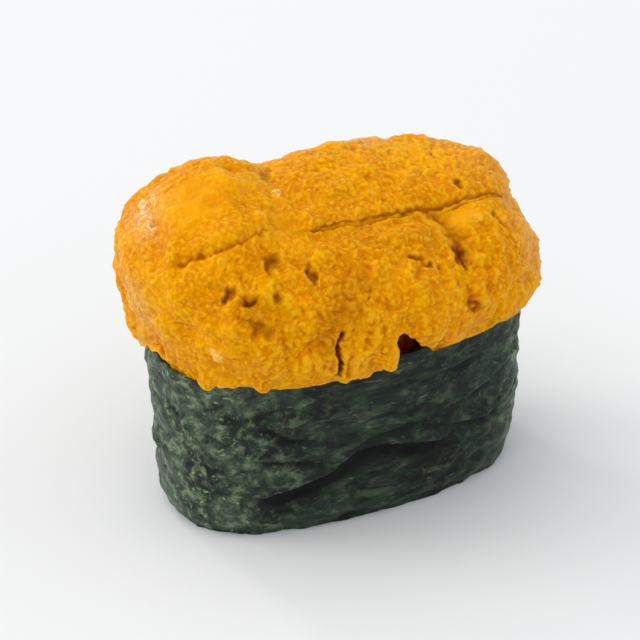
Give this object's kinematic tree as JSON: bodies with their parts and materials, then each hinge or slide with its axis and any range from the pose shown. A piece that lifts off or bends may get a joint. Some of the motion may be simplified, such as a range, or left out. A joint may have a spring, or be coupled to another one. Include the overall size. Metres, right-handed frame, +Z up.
{
  "type": "sea urchin gunkan sushi",
  "caption": "Upright oval band of nori around pressed rice, heaped with plump tongues of sea urchin roe that bulge over its rim.",
  "frame": {"origin": "middle of the flat underside, where the rice and the band's lower edge stand", "axes": "+X along the length, -Y towards the front, which has the torn lower edge, and +Z up"},
  "size_m": [0.0563, 0.0348, 0.0467],
  "materials": {
    "nori": "dry dark green seaweed sheet, low sheen",
    "rice": "moist cooked white rice",
    "roe": "moist amber orange roe, soft gloss"
  },
  "bodies": {
    "root": {"nori_wrap": "nori", "rice": "rice", "uni_left": "roe", "uni_back": "roe", "uni_front": "roe", "uni_right": "roe"}
  },
  "joints": []
}
